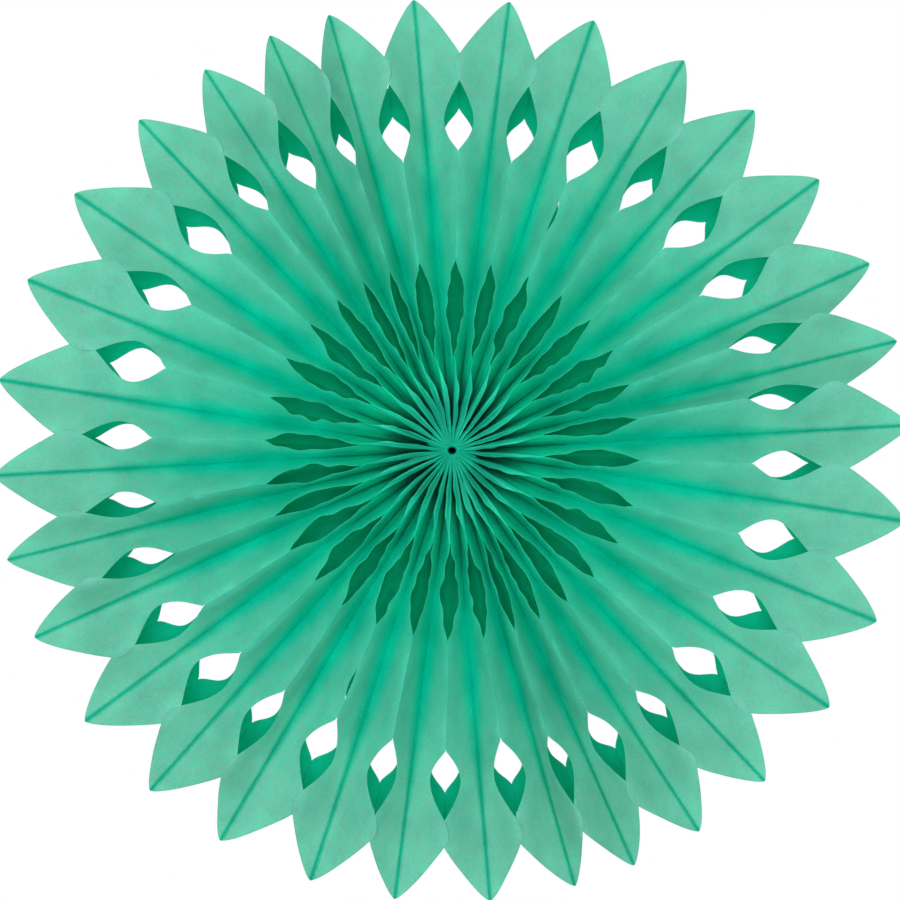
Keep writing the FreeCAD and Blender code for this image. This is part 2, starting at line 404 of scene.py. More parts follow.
class Tree:
    """Small helper that adds maths nodes to a node tree."""

    def __init__(self, tree):
        self.tree = tree

    def node(self, kind, **settings):
        """Add a node and set its properties."""
        made = self.tree.nodes.new(kind)
        for key, value in settings.items():
            setattr(made, key, value)
        return made

    def put(self, socket, value):
        """Link a socket to an input, or set the input to a plain value."""
        if isinstance(value, bpy.types.NodeSocket):
            self.tree.links.new(value, socket)
        else:
            socket.default_value = value

    def maths(self, operation, first, second=0.0, third=0.0, clamp=False):
        """One Math node, as its output."""
        made = self.node("ShaderNodeMath", operation=operation, use_clamp=clamp)
        for socket, value in zip(made.inputs, (first, second, third)):
            self.put(socket, value)
        return made.outputs[0]

    def add(self, first, *others):
        """Sum of two or more values."""
        for other in others:
            first = self.maths("ADD", first, other)
        return first

    def times(self, first, *others):
        """Product of two or more values."""
        for other in others:
            first = self.maths("MULTIPLY", first, other)
        return first

    def less(self, first, second):
        """Difference of two values."""
        return self.maths("SUBTRACT", first, second)

    def blend(self, factor, first, second):
        """Value between the first, at factor 0, and the second, at factor 1."""
        return self.add(first, self.times(factor, self.less(second, first)))

    def ramp(self, value, low, high):
        """Smooth step from 0 at low to 1 at high."""
        made = self.node("ShaderNodeMapRange", interpolation_type="SMOOTHSTEP")
        self.put(made.inputs["Value"], value)
        self.put(made.inputs["From Min"], low)
        self.put(made.inputs["From Max"], high)
        return made.outputs[0]

    def fall(self, value, low, high):
        """Smooth step from 1 at low to 0 at high."""
        return self.less(1.0, self.ramp(value, low, high))

    def attribute(self, name):
        """A named float attribute of the mesh, in a geometry tree."""
        made = self.node("GeometryNodeInputNamedAttribute", data_type="FLOAT")
        made.inputs["Name"].default_value = name
        return made.outputs["Attribute"]

    def mesh_attribute(self, name):
        """A float attribute of the mesh, in a material."""
        made = self.node("ShaderNodeAttribute", attribute_type="GEOMETRY")
        made.attribute_name = name
        return made.outputs["Fac"]

    def noise(self, vector, kind):
        """Noise around zero, mostly from -0.3 to 0.3, without the kind's strength."""
        made = self.node("ShaderNodeTexNoise", noise_dimensions="3D")
        self.put(made.inputs["Vector"], vector)
        made.inputs["Scale"].default_value = kind.scale
        made.inputs["Detail"].default_value = kind.detail
        return self.less(made.outputs[0], 0.5)

    def vector(self, x, y, z):
        """One vector from three values."""
        made = self.node("ShaderNodeCombineXYZ")
        for socket, value in zip(made.inputs, (x, y, z)):
            self.put(socket, value)
        return made.outputs[0]

    def parts(self, vector):
        """The three values of a vector."""
        made = self.node("ShaderNodeSeparateXYZ")
        self.put(made.inputs[0], vector)
        return made.outputs


# The fold, as a Geometry Nodes tree

LEAF_INPUTS = ["Panel width", "Notch radius", "Tip radius", "Midrib angle", "Ridge bow",
               "Crease bow", "Tip flattening", "Seam width", "Seam lean", "Ripple", "Oval",
               "Seed", "Glue gap"]
# Given once for the ridge before the leaf and once for the ridge after it
RIDGE_INPUTS = ["Half turn", "Ridge", "Sway", "Draw", "Wander"]
BEFORE, AFTER = " before", " after"
FOLD_INPUTS = LEAF_INPUTS + [name + end for name in RIDGE_INPUTS for end in (BEFORE, AFTER)]

# Unevenness of a panel, of an inner hole's edge and of a leaf's free end
PANEL_NOISE = Noise(24.0, 2.0, 2.6)
CUT_NOISE = Noise(75.0, 1.0, 9.0)
TIP_NOISE = Noise(11.0, 0.0, 7.0)
# Cells narrower than twice this stay calmer
CALM_WIDTH = 9 * MM
# What the noise is shifted by for a leaf's sides and faces
SIDE_SHIFT, FACE_SHIFT = 3.1, 7.7
# Unevenness of a ridge's run, of its lip's lean and width, and of one lip against the next
RIDGE_NOISE = Noise(44.0, 2.0, 3.3)
LEAN_NOISE = Noise(70.0, 1.0, 1.6)
LIP_NOISE = Noise(110.0, 1.0, 0.8)
LIP_SIZE_NOISE = Noise(7.0, 1.0, 1.3)
LIP_SIDE_NOISE = Noise(9.0)
LIP_SIZE_SHIFT = 5.0
# How far a ridge wanders near the centre, there at most a share of its cell, and outside
RIDGE_WANDER = 1.3 * MM
WANDER_OF_CELL = 0.38
OUTER_RIDGE_WANDER = 0.45 * MM
CALMER_RIDGE = (65 * MM, 95 * MM)
# Radii over which a hole's own wander and draw, and the sway, come in
OWN_WANDER_RISE = (60 * MM, 130 * MM)
DRAW_RISE = (40 * MM, 130 * MM)
SWAY_FULL_RADIUS = 130 * MM
# Up to this radius all lips fold over the same way
LAST_SHINGLE = 60 * MM


def corner_values(t, given):
    """What the tree knows of a corner: its attributes, its place and its own ridge."""
    share, face, lip, side, slack = map(t.attribute, ("share", "face", "lip", "side", "slack"))
    clockwise = t.maths("GREATER_THAN", side, 0.0)
    own = {name: t.blend(clockwise, given[name + BEFORE], given[name + AFTER])
           for name in RIDGE_INPUTS}
    radius = t.parts(t.node("GeometryNodeInputPosition").outputs[0])["Z"]
    # half of a cell's width at this radius, and how far out it is on a leaf's free end
    glued = t.maths("MINIMUM", radius, given["Notch radius"])
    across = t.times(glued, t.maths("TANGENT", own["Half turn"]))
    free = t.maths("DIVIDE", t.less(radius, given["Notch radius"]),
                   t.less(given["Tip radius"], given["Notch radius"]), clamp=True)
    return SimpleNamespace(share=share, face=face, lip=lip, side=side, slack=slack, own=own,
                           radius=radius, across=across, free=free)


def panel_wander(t, given, at):
    """Unevenness along the panel's normal.

    It is none at the midrib, and at the ridge only where the edge is cut free.
    """
    belly = t.maths("SINE", t.times(at.share, math.pi))
    sheet_seed = t.add(given["Seed"], t.times(at.side, SIDE_SHIFT), t.times(at.face, FACE_SHIFT))
    where = t.vector(sheet_seed, t.times(at.share, given["Panel width"]), at.radius)
    calm = t.maths("DIVIDE", at.across, CALM_WIDTH, clamp=True)
    return t.times(given["Ripple"], calm, t.add(
        t.times(belly, t.noise(where, PANEL_NOISE), PANEL_NOISE.strength),
        t.times(at.slack, at.share, t.noise(where, CUT_NOISE), CUT_NOISE.strength),
        t.times(at.free, at.share, t.noise(where, TIP_NOISE), TIP_NOISE.strength)))


def ridge_shift(t, at, along_ridge):
    """How far a ridge wanders clockwise, the same way on both its leaves."""
    inner_wander = t.maths("MINIMUM", t.times(at.across, WANDER_OF_CELL), RIDGE_WANDER)
    reach = t.blend(t.ramp(at.radius, *CALMER_RIDGE), inner_wander, OUTER_RIDGE_WANDER)
    own_wander = t.times(at.own["Wander"], t.ramp(at.radius, *OWN_WANDER_RISE))
    return t.times(at.share, t.add(own_wander, t.times(
        reach, t.noise(along_ridge, RIDGE_NOISE), RIDGE_NOISE.strength)))


def lip_fold(t, given, at, along_ridge):
    """Width of the lip up to this corner and its lean, the same on both its leaves."""
    ridge = at.own["Ridge"]
    outside = t.maths("GREATER_THAN", at.radius, LAST_SHINGLE)
    some_side = t.maths("SIGN", t.noise(t.vector(ridge, 0.0, 0.0), LIP_SIDE_NOISE))
    lean = t.add(t.times(given["Seam lean"], t.blend(outside, 1.0, some_side)),
                 t.times(t.noise(along_ridge, LEAN_NOISE), LEAN_NOISE.strength))
    lip_place = t.vector(ridge, LIP_SIZE_SHIFT, 0.0)
    width = t.times(at.lip, given["Seam width"], t.add(
        1.0, t.times(t.noise(along_ridge, LIP_NOISE), LIP_NOISE.strength),
        t.times(t.noise(lip_place, LIP_SIZE_NOISE), LIP_SIZE_NOISE.strength)))
    return width, lean


def folded_place(t, given, at):
    """Place of a corner in the ring."""
    full_height = t.maths("SQRT", t.less(t.maths("POWER", given["Panel width"], 2.0),
                                         t.maths("POWER", at.across, 2.0)))
    height = t.times(full_height, t.less(1.0, t.times(at.free, given["Tip flattening"])))
    slope = t.maths("DIVIDE", at.across, given["Panel width"])
    rise = t.maths("DIVIDE", height, given["Panel width"])
    wander = panel_wander(t, given, at)
    along_ridge = t.vector(at.own["Ridge"], 0.0, at.radius)
    lip_width, lean = lip_fold(t, given, at, along_ridge)

    # in the leaf's section: x across the leaf, depth towards the front
    glue_gap = t.times(t.less(1.0, at.share), given["Glue gap"])
    x = t.add(t.times(at.side, t.add(t.times(at.share, at.across), glue_gap)),
              ridge_shift(t, at, along_ridge), t.times(lip_width, t.maths("SINE", lean)),
              t.times(at.side, wander, rise, -1.0))
    opened = t.times(at.share, t.add(t.less(1.0, given["Crease bow"]),
                                     t.times(at.share, given["Crease bow"])))
    arch = t.less(1.0, t.maths("POWER", t.less(1.0, opened), given["Ridge bow"]))
    depth = t.times(at.face, t.add(t.times(arch, height),
                                   t.times(lip_width, t.maths("COSINE", lean)),
                                   t.times(wander, slope)))

    # a back ridge is drawn along its own line, so that its two leaves stay together
    draw = t.times(at.own["Draw"], t.ramp(at.radius, *DRAW_RISE),
                   t.maths("DIVIDE", t.maths("MINIMUM", depth, 0.0), given["Panel width"]))
    drawn_x = t.add(x, t.times(at.side, draw, t.maths("DIVIDE", at.across, at.radius)))
    turned = t.node("ShaderNodeVectorRotate", rotation_type="Y_AXIS")
    t.put(turned.inputs["Vector"],
          t.vector(drawn_x, t.times(depth, -1.0), t.add(at.radius, draw)))
    t.put(turned.inputs["Angle"], given["Midrib angle"])
    place = t.parts(turned.outputs[0])

    # the front leans outward, and the ring is opened a little wider than tall
    outward = t.times(depth, at.own["Sway"],
                      t.maths("DIVIDE", at.radius, SWAY_FULL_RADIUS, clamp=True))
    return t.vector(t.times(place["X"], t.add(1.0, given["Oval"])), place["Y"],
                    t.times(t.add(place["Z"], outward), t.less(1.0, given["Oval"])))


def fold_tree(material):
    """Tree that folds a flat cut sheet into its place in the ring."""
    tree = bpy.data.node_groups.new("fold_tissue_sheet", "GeometryNodeTree")
    tree.interface.new_socket("Geometry", in_out="INPUT", socket_type="NodeSocketGeometry")
    for name in FOLD_INPUTS:
        tree.interface.new_socket(name, in_out="INPUT", socket_type="NodeSocketFloat")
    tree.interface.new_socket("Geometry", in_out="OUTPUT", socket_type="NodeSocketGeometry")
    t = Tree(tree)
    given = t.node("NodeGroupInput").outputs
    placed = t.node("GeometryNodeSetPosition")
    t.put(placed.inputs["Geometry"], given["Geometry"])
    t.put(placed.inputs["Position"], folded_place(t, given, corner_values(t, given)))
    whole = t.node("GeometryNodeRealizeInstances")
    t.put(whole.inputs["Geometry"], placed.outputs["Geometry"])
    finished = t.node("GeometryNodeSetMaterial")
    t.put(finished.inputs["Geometry"], whole.outputs["Geometry"])
    finished.inputs["Material"].default_value = material
    t.put(t.node("NodeGroupOutput").inputs["Geometry"], finished.outputs["Geometry"])
    return tree


# Corners of a folded sheet closer than this are one, and edges shorter than this are none
MERGE_DISTANCE = 0.02 * MM
LEAST_EDGE = 0.01 * MM


def baked(mesh, add_modifier):
    """Plain mesh that a modifier makes of a mesh."""
    obj = bpy.data.objects.new("bench", mesh)
    bpy.context.scene.collection.objects.link(obj)
    add_modifier(obj)
    seen = obj.evaluated_get(bpy.context.evaluated_depsgraph_get())
    result = bpy.data.meshes.new_from_object(seen)
    bpy.data.objects.remove(obj)
    return result


def fold(mesh, tree, values):
    """Run the fold tree on a flat sheet and return the folded sheet."""
    def add_modifier(obj):
        modifier = obj.modifiers.new("fold", "NODES")
        modifier.node_group = tree
        for item in tree.interface.items_tree:
            if item.in_out == "INPUT" and item.name in values:
                modifier[item.identifier] = float(values[item.name])
    return baked(mesh, add_modifier)


def thickened(folded, thickness):
    """Merge the sheet's closed-up columns and give it its wall."""
    work = bmesh.new()
    work.from_mesh(folded)
    bmesh.ops.remove_doubles(work, verts=work.verts, dist=MERGE_DISTANCE)
    bmesh.ops.dissolve_degenerate(work, edges=work.edges, dist=LEAST_EDGE)
    merged = bpy.data.meshes.new("sheet")
    work.to_mesh(merged)
    work.free()

    def add_modifier(obj):
        wall = obj.modifiers.new("wall", "SOLIDIFY")
        wall.thickness = thickness
        wall.offset = 0.0
    return baked(merged, add_modifier)


def joined(meshes, name):
    """One mesh from several, with all faces outwards."""
    work = bmesh.new()
    for mesh in meshes:
        work.from_mesh(mesh)
    bmesh.ops.recalc_face_normals(work, faces=work.faces)
    result = bpy.data.meshes.new(name)
    work.to_mesh(result)
    work.free()
    return result


# Materials

BUMP_STRENGTH = 0.35
BUMP_HEIGHT = 0.25 * MM
PAPER_ROUGHNESS = 0.9
PAPER_SPECULAR = 0.04
TISSUE_SEE_THROUGH = 0.42
CORE_SEE_THROUGH = 0.02

# Unevenness of the dye and of the surface, and the painted highlight streaks
CLOUD = Noise(60.0, 3.0, 0.5)
FIBRE = Noise(950.0, 2.0, 0.35)
BLOTCH = Noise(300.0, 2.0, 0.5)
STREAK = Noise(22.0, 2.0, 2.6)
RELIEF = Noise(240.0, 3.0, 0.7)
CORE_CLOUD = Noise(420.0, 3.0, 1.2)
FIBRE_RELIEF = 0.3
# How much brighter mottle and the painted highlight streaks make the tissue
MOTTLE_TONE = 1.05
STREAK_LIGHT_SHADE_TONE = 1.2
# How far the cloud shifts the zones of painted light and shade, in metres, and how far the mottle
# frays the creases' painted light and shade
ZONE_SHIFT = 0.03
CREASE_FRAY = 0.6
# How fast the painted highlight streaks change along the radius, against round it
STREAK_LENGTH = 1.2
BLOTCH_EDGES = (-0.12, 0.18)

# Radii over which one colour of the tissue, with its painted light and shade, gives way to the
# next
CORE_TO_INNER = (16 * MM, 38 * MM)
INNER_TO_MIDDLE = (40 * MM, 115 * MM)
MIDDLE_TO_OUTER = (115 * MM, 178 * MM)
CREASE_TO_OUTER = (95 * MM, 160 * MM)
BLOTCH_RISE = (80 * MM, 150 * MM)
LIP_SHADE_FALL = (36 * MM, 50 * MM)
STREAK_FALL = (28 * MM, 60 * MM)
# Share of the panel that the crease's painted light and shade reaches over, near the centre and
# outside, and the share that has it in full
CREASE_REACH, CREASE_REACH_RISE = (0.75, 0.10), (75 * MM, 170 * MM)
CREASE_FULL, CREASE_FULL_RISE = (0.16, 0.0), (85 * MM, 135 * MM)
# Painted shade line at the bottom of a crease: its soft half width, and its strength near the
# centre and outside
FOLD_SHADE_WIDTH = (0.1 * MM, 1.1 * MM)
FOLD_SHADE_STRENGTH, FOLD_SHADE_RISE = (0.12, 0.40), (70 * MM, 125 * MM)
# Share of the panel next to a ridge that has the lips' painted shade
LIP_SHADE_SHARE = (0.85, 1.0)
# Turn towards the inside over which a face becomes an inner side with painted shade
INSIDE_TURN = (-0.05, 0.15)
# Strengths of the painted highlight on the inner holes' rims and of the leaf ends' rim colour
SLIT_HIGHLIGHT_STRENGTH = 0.8
LEAF_RIM_STRENGTH = 0.9
# Painted light makes the gathered walls a little brighter, and painted shade the lips inside them
# darker: radii of the rise and of the fall, and the change of tone
WALL_LIGHT_RISE, WALL_LIGHT_FALL, WALL_LIGHT_TONE = (24 * MM, 33 * MM), (37 * MM, 48 * MM), 0.19
LIP_SHADE_TONE_RISE, LIP_SHADE_TONE_FALL, LIP_SHADE_TONE = (8 * MM, 14 * MM), (20 * MM, 27 * MM), -0.22
MEAN_HALF_TURN = math.pi / LEAF_COUNT
# Least share of the inner tissue's colour on the core
CORE_PALENESS = 0.12
# Distance from the axis over which the floor fades to white
FLOOR_FADE = (0.16, 0.37)


def shader_tree(name):
    """New material with an empty node tree, its helper and its output node."""
    material = bpy.data.materials.new(name)
    material.use_nodes = True
    material.node_tree.nodes.clear()
    t = Tree(material.node_tree)
    return material, t, t.node("ShaderNodeOutputMaterial")


def mixed(t, factor, first, second):
    """Mix of two colours, each a socket or a plain colour."""
    made = t.node("ShaderNodeMix", data_type="RGBA")
    t.put(made.inputs[0], factor)
    for socket, colour in ((made.inputs[6], first), (made.inputs[7], second)):
        t.put(socket, colour if isinstance(colour, bpy.types.NodeSocket) else (*colour, 1.0))
    return made.outputs[2]


def paper_shader(t, output, colour, glow, height, see_through):
    """Matte paper that lets some light through, which the dye colours more deeply."""
    bump = t.node("ShaderNodeBump")
    bump.inputs["Strength"].default_value = BUMP_STRENGTH
    bump.inputs["Distance"].default_value = BUMP_HEIGHT
    t.put(bump.inputs["Height"], height)
    paper = t.node("ShaderNodeBsdfPrincipled")
    t.put(paper.inputs["Base Color"], colour)
    t.put(paper.inputs["Normal"], bump.outputs[0])
    paper.inputs["Roughness"].default_value = PAPER_ROUGHNESS
    paper.inputs["Specular IOR Level"].default_value = PAPER_SPECULAR
    through = t.node("ShaderNodeBsdfTranslucent")
    t.put(through.inputs["Color"], (*glow, 1.0))
    t.put(through.inputs["Normal"], bump.outputs[0])
    blend = t.node("ShaderNodeMixShader")
    blend.inputs[0].default_value = see_through
    t.put(blend.inputs[1], paper.outputs[0])
    t.put(blend.inputs[2], through.outputs[0])
    t.put(output.inputs["Surface"], blend.outputs[0])


def zone_colour(t, s, radius, cloud):
    """Colour of the tissue by its distance from the centre, with painted light and shade: the
    darker core colour near the centre, the brightened inner colour, paler leaf ends.
    """
    outward = t.add(radius, t.times(cloud, ZONE_SHIFT))
    colour = mixed(t, t.ramp(outward, *CORE_TO_INNER), s.core_colour, s.inner_colour)
    colour = mixed(t, t.ramp(outward, *INNER_TO_MIDDLE), colour, s.middle_colour)
    return mixed(t, t.ramp(outward, *MIDDLE_TO_OUTER), colour, s.outer_colour)


def painted_crease_colour(t, s, colour, radius, mottle):
    """A colour with the crease's painted light near the centre and painted shade outside, a
    painted shade line along the midrib, and painted shade on the crests near the centre.
    """
    share = t.mesh_attribute("share")
    reach = t.blend(t.ramp(radius, *CREASE_REACH_RISE), *CREASE_REACH)
    full = t.blend(t.ramp(radius, *CREASE_FULL_RISE), *CREASE_FULL)
    open_share = t.ramp(t.add(share, t.times(mottle, reach, CREASE_FRAY)), full, reach)
    # the crease's painted light near the centre gives way to painted shade outside
    crease = mixed(t, t.ramp(radius, *CREASE_TO_OUTER), s.crease_light_colour, s.outer_crease_shade_colour)
    colour = mixed(t, open_share, crease, colour)
    off_fold = t.times(share, radius, MEAN_HALF_TURN)
    # painted shade line along the bottom of the crease
    fold_shade = t.times(t.fall(off_fold, *FOLD_SHADE_WIDTH),
                        t.blend(t.ramp(radius, *FOLD_SHADE_RISE), *FOLD_SHADE_STRENGTH))
    colour = mixed(t, fold_shade, colour, s.fold_shade_colour)
    # painted shade on the crests near the centre
    lip = t.times(t.ramp(share, *LIP_SHADE_SHARE), t.fall(radius, *LIP_SHADE_FALL))
    return mixed(t, lip, colour, s.lip_shade_colour)


def edged_colour(t, s, colour):
    """A colour with painted shade on the inner sides, a painted highlight along the rims of the
    inner holes and the lips' edges, and the leaf ends' rim colour.
    """
    facing_back = t.parts(t.node("ShaderNodeNewGeometry").outputs["True Normal"])["Y"]
    inside = t.times(t.mesh_attribute("face"), facing_back)
    colour = mixed(t, t.ramp(inside, *INSIDE_TURN), colour, s.shade_colour)
    rim = t.mesh_attribute("rim")
    slit_rim_highlight = t.maths("MULTIPLY", rim, SLIT_HIGHLIGHT_STRENGTH, clamp=True)
    leaf_rim = t.maths("MULTIPLY", rim, -LEAF_RIM_STRENGTH, clamp=True)
    return mixed(t, leaf_rim, mixed(t, slit_rim_highlight, colour, s.rim_highlight_colour), s.leaf_rim_colour)


def tissue_material(s):
    """Dyed tissue, clouded, with painted light and shade: paler on the leaf ends, lit and shaded
    in the creases, streaked with painted highlight and shade near the centre.
    """
    material, t, output = shader_tree("mint_tissue")
    place = t.node("ShaderNodeTexCoord").outputs["Object"]
    x, _, z = t.parts(place)
    radius = t.maths("SQRT", t.add(t.times(x, x), t.times(z, z)))
    cloud = t.noise(place, CLOUD)
    fibre = t.noise(place, FIBRE)
    mottle = t.add(t.times(cloud, CLOUD.strength), t.times(fibre, FIBRE.strength))
    blotch = t.times(t.ramp(t.noise(place, BLOTCH), *BLOTCH_EDGES), t.ramp(radius, *BLOTCH_RISE))
    colour = mixed(t, t.times(blotch, BLOTCH.strength), zone_colour(t, s, radius, cloud),
                   s.worn_colour)
    colour = painted_crease_colour(t, s, colour, radius, mottle)

    # near the centre, painted highlight and shade streaks run along the radius, for light on the
    # crests of the gathered pleats
    direction = t.vector(t.maths("DIVIDE", x, radius), t.maths("DIVIDE", z, radius),
                         t.times(radius, STREAK_LENGTH))
    streak_light_shade = t.times(t.noise(direction, STREAK), t.fall(radius, *STREAK_FALL))
    colour = mixed(t, t.maths("MULTIPLY", streak_light_shade, STREAK.strength, clamp=True), colour,
                   s.streak_highlight_colour)
    colour = edged_colour(t, s, colour)

    # painted light on the gathered walls
    walls = t.times(t.ramp(radius, *WALL_LIGHT_RISE), t.fall(radius, *WALL_LIGHT_FALL))
    # painted shade among the lips near the centre
    lips = t.times(t.ramp(radius, *LIP_SHADE_TONE_RISE), t.fall(radius, *LIP_SHADE_TONE_FALL))
    tone = t.node("ShaderNodeHueSaturation")
    t.put(tone.inputs["Value"], t.add(
        1.0, t.times(mottle, MOTTLE_TONE), t.times(streak_light_shade, STREAK_LIGHT_SHADE_TONE),
        t.times(walls, WALL_LIGHT_TONE), t.times(lips, LIP_SHADE_TONE)))
    t.put(tone.inputs["Color"], colour)
    relief = t.add(t.times(t.noise(place, RELIEF), RELIEF.strength),
                   t.times(fibre, FIBRE_RELIEF))
    paper_shader(t, output, tone.outputs[0], s.glow_colour, relief, TISSUE_SEE_THROUGH)
    return material


def core_material(s):
    """Glued ends of the tissue: deeper, with painted shade, near black, inside the thread hole."""
    material, t, output = shader_tree("glued_tissue")
    place = t.node("ShaderNodeTexCoord").outputs["Object"]
    cloud = t.noise(place, CORE_CLOUD)
    colour = mixed(t, t.maths("ADD", t.times(cloud, CORE_CLOUD.strength), CORE_PALENESS,
                              clamp=True), s.core_colour, s.inner_colour)
    # painted shade inside the thread hole, where deep is 1
    colour = mixed(t, t.mesh_attribute("deep"), colour, s.bore_shade_colour)
    paper_shader(t, output, colour, s.bore_shade_colour, cloud, CORE_SEE_THROUGH)
    return material


def floor_material(s):
    """Pale floor that keeps a shadow near the object and fades to plain white around it."""
    material, t, output = shader_tree("pale_floor")
    pale = t.node("ShaderNodeBsdfDiffuse")
    t.put(pale.inputs["Color"], (*s.floor_colour, 1.0))
    white = t.node("ShaderNodeEmission")
    x, y, _ = t.parts(t.node("ShaderNodeTexCoord").outputs["Object"])
    away = t.maths("SQRT", t.add(t.times(x, x), t.times(y, y)))
    path = t.node("ShaderNodeLightPath")
    blend = t.node("ShaderNodeMixShader")
    t.put(blend.inputs[0], t.times(t.ramp(away, *FLOOR_FADE), path.outputs["Is Camera Ray"]))
    t.put(blend.inputs[1], pale.outputs[0])
    t.put(blend.inputs[2], white.outputs[0])
    t.put(output.inputs["Surface"], blend.outputs[0])
    return material


# Pieces

# Edges sharper than this aren't shaded round
SHARPEST_SMOOTH = math.radians(35)
# Steps between places in the noise, so that each leaf and each ridge has its own
LEAF_SEED_STEP = 1.7
RIDGE_PLACE_START, RIDGE_PLACE_STEP = 0.61, 1.37
# How fast the sway turns over where the upper half meets the lower
SWAY_TURNOVER = 6


def add_piece(mesh, name, node, material):
    """Make an object of a mesh and tie it to the frame in place of its CAD node."""
    mesh.materials.clear()
    mesh.materials.append(material)
    mesh.shade_smooth()
    mesh.set_sharp_from_angle(angle=SHARPEST_SMOOTH)
    obj = bpy.data.objects.new(name, mesh)
    bpy.context.scene.collection.objects.link(obj)
    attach(obj, "root")
    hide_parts(node)


def ridge_place(i):
    """Place in the noise that gives a ridge its own unevenness."""
    return i * RIDGE_PLACE_STEP + RIDGE_PLACE_START


def ridge_sway(s, i):
    """Outward lean of a ridge: up on the upper half, down on the lower half."""
    return s.sway * max(-1.0, min(1.0, SWAY_TURNOVER * math.cos(RIDGES[i])))


def leaf_values(s, shared, i):
    """Inputs of the fold tree for one leaf."""
    values = dict(shared, **{"Midrib angle": MIDRIBS[i], "Seed": i * LEAF_SEED_STEP})
    for end, ridge in ((BEFORE, (i - 1) % LEAF_COUNT), (AFTER, i)):
        values["Half turn" + end] = TURNS[ridge] / 2
        values["Ridge" + end] = ridge_place(ridge)
        values["Sway" + end] = ridge_sway(s, ridge)
        values["Draw" + end] = hole(ridge).draw * MM
        values["Wander" + end] = hole(ridge).wander * MM
    return values


class FAN_OT_leaves(bpy.types.Operator):
    """Cut and fold the two tissue sheets of every leaf"""

    bl_idname = "tissue_fan.leaves"
    bl_label = "Tissue leaves"

    def execute(self, context):
        s = context.scene.tissue_fan
        material = tissue_material(s)
        tree = fold_tree(material)
        rng = random.Random(s.seed)
        shared = {
            "Panel width": PANEL_WIDTH, "Notch radius": s.notch_radius, "Tip radius": TIP_RADIUS,
            "Ridge bow": s.ridge_bow, "Crease bow": s.crease_bow,
            "Tip flattening": s.tip_flattening, "Seam width": s.seam_width,
            "Seam lean": s.seam_lean, "Ripple": s.ripple, "Oval": s.oval,
            "Glue gap": s.tissue_thickness / 2,
        }
        for i, node in enumerate(LEAF_NODES):
            values = leaf_values(s, shared, i)
            sheets = []
            for side, ridge in ((-1, (i - 1) % LEAF_COUNT), (1, i)):
                flat = flat_sheet(s, side, ridge, (i + 1, side) in OPENED_SEAMS, rng)
                sheets.append(thickened(fold(flat, tree, values), s.tissue_thickness))
            name = node.replace("leaf", "tissue_leaf")
            add_piece(joined(sheets, name), name, node, material)
        return {"FINISHED"}


class FAN_OT_core(bpy.types.Operator):
    """Glued ends of the tissue round the thread hole"""

    bl_idname = "tissue_fan.core"
    bl_label = "Glued core"

    def execute(self, context):
        s = context.scene.tissue_fan
        add_piece(core_mesh(), "glued_core_piece", CORE_NODE, core_material(s))
        return {"FINISHED"}


# Fluted hub: how far it reaches from the axis, and how far its rim lies behind its middle
HUB_RIDGE_REACH = 11.0 * MM
HUB_VALLEY_REACH = 8.5 * MM
HUB_RIDGE_DROP = 0.3 * MM
HUB_VALLEY_DROP = 2.4 * MM
# Its middle lies this far behind the panels, and its hole's edge dips further
HUB_SINK = 0.3 * MM
HOLE_DIP = 0.5 * MM
HOLE_DIP_POWER = 5
# The hub's side turns in to the core's waist
SIDE_SHARE, SIDE_DEPTH = 0.93, 1.2 * MM
WAIST_RADIUS, WAIST_DEPTH = 3.2 * MM, 4 * MM
# Half width and half height of the hole, and how it narrows and bends on the way through,
# with its depths in millimetres
BORE_WIDTH = 1.5 * MM
BORE_HEIGHT = 1.25 * MM
THROAT = 0.6 * MM
THROAT_SHIFT = 1.0 * MM
THROAT_DEPTHS = (-18, -12, -6, 0, 6, 12, 18)
THROAT_BEND = 12
THROAT_END, THROAT_POWER = 20, 4
STEPS_PER_TURN = 6
CORE_STEPS = 6


def core_outline(valley):
    """Rings of the core from its front hole over the hub and down its side.

    valley is 0 at a ridge and 1 at a midrib. Gives radius and depth pairs.
    """
    soft = valley * valley * (3 - 2 * valley)
    reach = HUB_RIDGE_REACH + (HUB_VALLEY_REACH - HUB_RIDGE_REACH) * soft
    drop = HUB_RIDGE_DROP + (HUB_VALLEY_DROP - HUB_RIDGE_DROP) * soft
    rings = []
    for k in range(CORE_STEPS + 1):
        t = k / CORE_STEPS
        sink = HOLE_DIP * (1 - t) ** HOLE_DIP_POWER + HUB_SINK
        rings.append((BORE_HEIGHT + t * (reach - BORE_HEIGHT), PANEL_WIDTH - t * t * drop - sink))
    last = rings[-1][1]
    rings.append((reach * SIDE_SHARE, last - SIDE_DEPTH))
    rings.append((WAIST_RADIUS, last - WAIST_DEPTH))
    return rings


